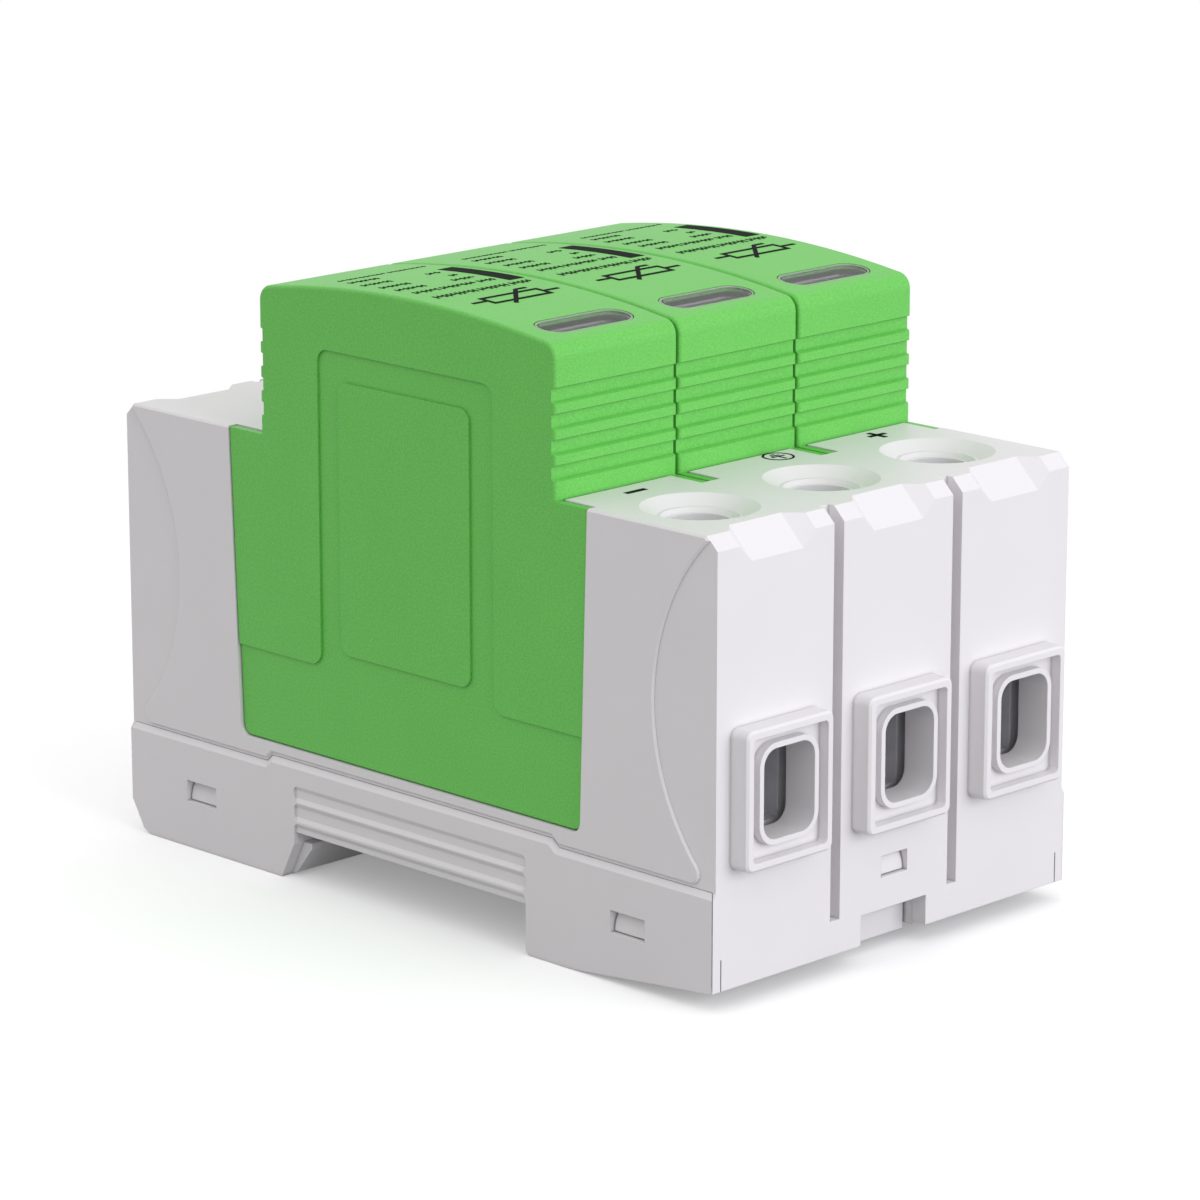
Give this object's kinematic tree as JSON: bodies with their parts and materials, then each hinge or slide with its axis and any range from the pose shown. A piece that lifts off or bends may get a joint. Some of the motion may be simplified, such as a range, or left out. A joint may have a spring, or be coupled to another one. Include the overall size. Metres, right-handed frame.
{
  "type": "DIN rail surge arrester",
  "caption": "Pluggable surge arrester for a mounting rail: white terminal base, green plug-in cartridges with status windows, lift-cage screw terminals and a sprung rail clip.",
  "frame": {"origin": "under the middle of the whole object's bounding box, on the plane its two feet stand on", "axes": "+Z away from the rail, towards the cartridges' arched tops; +X across the poles; -Y towards the wire terminals"},
  "size_m": [0.0538, 0.0918, 0.0664],
  "materials": {
    "housing_white": "fine satin moulding",
    "cover_white": "fine satin moulding",
    "clip_white": "fine satin moulding",
    "shell_green": "fine satin moulding",
    "plate_black": "moulded",
    "lens_clear": "polished clear plastic",
    "marker_red": "moulded",
    "shutter_grey": "moulded",
    "varistor_blue": "epoxy coating",
    "tinned_copper": "tin plate",
    "arm_brass": "rolled strip",
    "spring_steel": "rolled strip",
    "cage_steel": "passivated zinc",
    "screw_steel": "zinc plate"
  },
  "bodies": {
    "base": {"base_housing": "housing_white", "base_cover": "cover_white", "star_busbar": "tinned_copper", "contact_bar_1": "tinned_copper", "near_jaw_1": "spring_steel", "far_jaw_1": "spring_steel", "contact_bar_2": "tinned_copper", "near_jaw_2": "spring_steel", "far_jaw_2": "spring_steel", "contact_bar_3": "tinned_copper", "near_jaw_3": "spring_steel", "far_jaw_3": "spring_steel"},
    "rail_clip": {"rail_clip": "clip_white"},
    "screw_1": {"terminal_screw_1": "screw_steel"},
    "cage_1": {"terminal_cage_1": "cage_steel"},
    "cartridge_1": {"cartridge_1_shell": "shell_green", "cartridge_1_plate": "plate_black", "cartridge_1_lens": "lens_clear", "cartridge_1_marker": "marker_red", "cartridge_1_varistor": "varistor_blue", "cartridge_1_line_blade": "tinned_copper", "cartridge_1_earth_blade": "tinned_copper", "cartridge_1_spring": "spring_steel"},
    "trip_1": {"cartridge_1_lever": "shutter_grey", "cartridge_1_arm": "arm_brass"},
    "screw_2": {"terminal_screw_2": "screw_steel"},
    "cage_2": {"terminal_cage_2": "cage_steel"},
    "cartridge_2": {"cartridge_2_shell": "shell_green", "cartridge_2_plate": "plate_black", "cartridge_2_lens": "lens_clear", "cartridge_2_marker": "marker_red", "cartridge_2_varistor": "varistor_blue", "cartridge_2_line_blade": "tinned_copper", "cartridge_2_earth_blade": "tinned_copper", "cartridge_2_spring": "spring_steel"},
    "trip_2": {"cartridge_2_lever": "shutter_grey", "cartridge_2_arm": "arm_brass"},
    "screw_3": {"terminal_screw_3": "screw_steel"},
    "cage_3": {"terminal_cage_3": "cage_steel"},
    "cartridge_3": {"cartridge_3_shell": "shell_green", "cartridge_3_plate": "plate_black", "cartridge_3_lens": "lens_clear", "cartridge_3_marker": "marker_red", "cartridge_3_varistor": "varistor_blue", "cartridge_3_line_blade": "tinned_copper", "cartridge_3_earth_blade": "tinned_copper", "cartridge_3_spring": "spring_steel"},
    "trip_3": {"cartridge_3_lever": "shutter_grey", "cartridge_3_arm": "arm_brass"}
  },
  "joints": [
    {"name": "rail_clip_slide", "type": "slide", "parent": "base", "child": "rail_clip", "axis": [0, -1, 0], "range_m": [0, 0.003], "stiffness_N_per_m": 600, "springref_m": -0.003},
    {"name": "screw_turn_1", "type": "hinge", "parent": "base", "child": "screw_1", "pos_m": [-0.0179, -0.03285, 0.043], "axis": [0, 0, -1], "range_deg": [0, 3960]},
    {"name": "cage_lift_1", "type": "slide", "parent": "base", "child": "cage_1", "axis": [0, 0, 1], "range_m": [0, 0.0088]},
    {"name": "cartridge_pull_1", "type": "slide", "parent": "base", "child": "cartridge_1", "axis": [0, 0, 1], "range_m": [0, 0.036]},
    {"name": "trip_turn_1", "type": "hinge", "parent": "cartridge_1", "child": "trip_1", "pos_m": [-0.0124, -0.00755, 0.03], "axis": [-1, 0, 0], "range_deg": [0, 10.5]},
    {"name": "screw_turn_2", "type": "hinge", "parent": "base", "child": "screw_2", "pos_m": [0, -0.03285, 0.043], "axis": [0, 0, -1], "range_deg": [0, 3960]},
    {"name": "cage_lift_2", "type": "slide", "parent": "base", "child": "cage_2", "axis": [0, 0, 1], "range_m": [0, 0.0088]},
    {"name": "cartridge_pull_2", "type": "slide", "parent": "base", "child": "cartridge_2", "axis": [0, 0, 1], "range_m": [0, 0.036]},
    {"name": "trip_turn_2", "type": "hinge", "parent": "cartridge_2", "child": "trip_2", "pos_m": [0.0055, -0.00755, 0.03], "axis": [-1, 0, 0], "range_deg": [0, 10.5]},
    {"name": "screw_turn_3", "type": "hinge", "parent": "base", "child": "screw_3", "pos_m": [0.0179, -0.03285, 0.043], "axis": [0, 0, -1], "range_deg": [0, 3960]},
    {"name": "cage_lift_3", "type": "slide", "parent": "base", "child": "cage_3", "axis": [0, 0, 1], "range_m": [0, 0.0088]},
    {"name": "cartridge_pull_3", "type": "slide", "parent": "base", "child": "cartridge_3", "axis": [0, 0, 1], "range_m": [0, 0.036]},
    {"name": "trip_turn_3", "type": "hinge", "parent": "cartridge_3", "child": "trip_3", "pos_m": [0.0234, -0.00755, 0.03], "axis": [-1, 0, 0], "range_deg": [0, 10.5]}
  ],
  "couplings": [
    {"joint": "screw_turn_1", "follows": "cage_lift_1", "rad_per_m": 7854},
    {"joint": "screw_turn_2", "follows": "cage_lift_2", "rad_per_m": 7854},
    {"joint": "screw_turn_3", "follows": "cage_lift_3", "rad_per_m": 7854}
  ]
}
